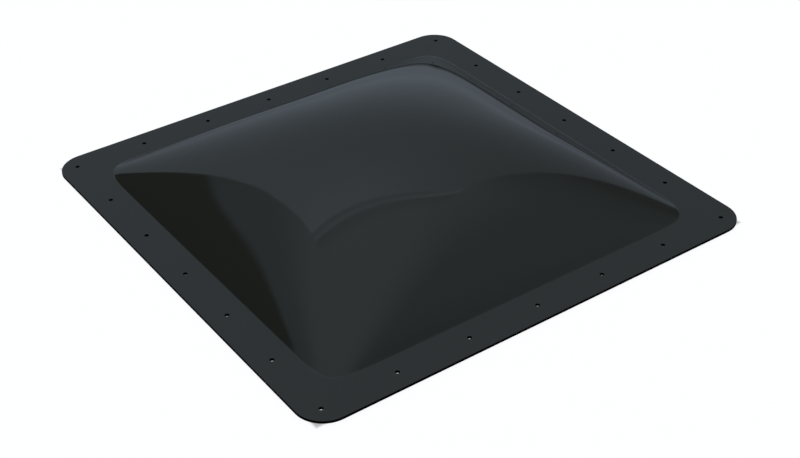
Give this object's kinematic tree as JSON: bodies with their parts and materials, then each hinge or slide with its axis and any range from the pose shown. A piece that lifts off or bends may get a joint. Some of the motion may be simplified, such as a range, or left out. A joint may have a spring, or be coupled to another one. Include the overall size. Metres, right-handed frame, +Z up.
{
  "type": "roof skylight dome",
  "caption": "Square dark-tinted skylight dome for a vehicle roof, blown from one sheet with a flat drilled flange, on foam sealing strips.",
  "frame": {"origin": "middle of the seating plane, on the underside of the pressed sealing strips", "axes": "+Z up through the crown of the dome, X and Y along the sides of the square flange"},
  "size_m": [0.6604, 0.6604, 0.1055],
  "materials": {
    "smoke_plastic": "glossy dark smoke sheet, nearly opaque from outside",
    "foam": "matt closed-cell foam strip"
  },
  "bodies": {
    "root": {"dome_cover": "smoke_plastic", "seal_front": "foam", "seal_rear": "foam", "seal_left": "foam", "seal_right": "foam"}
  },
  "joints": []
}
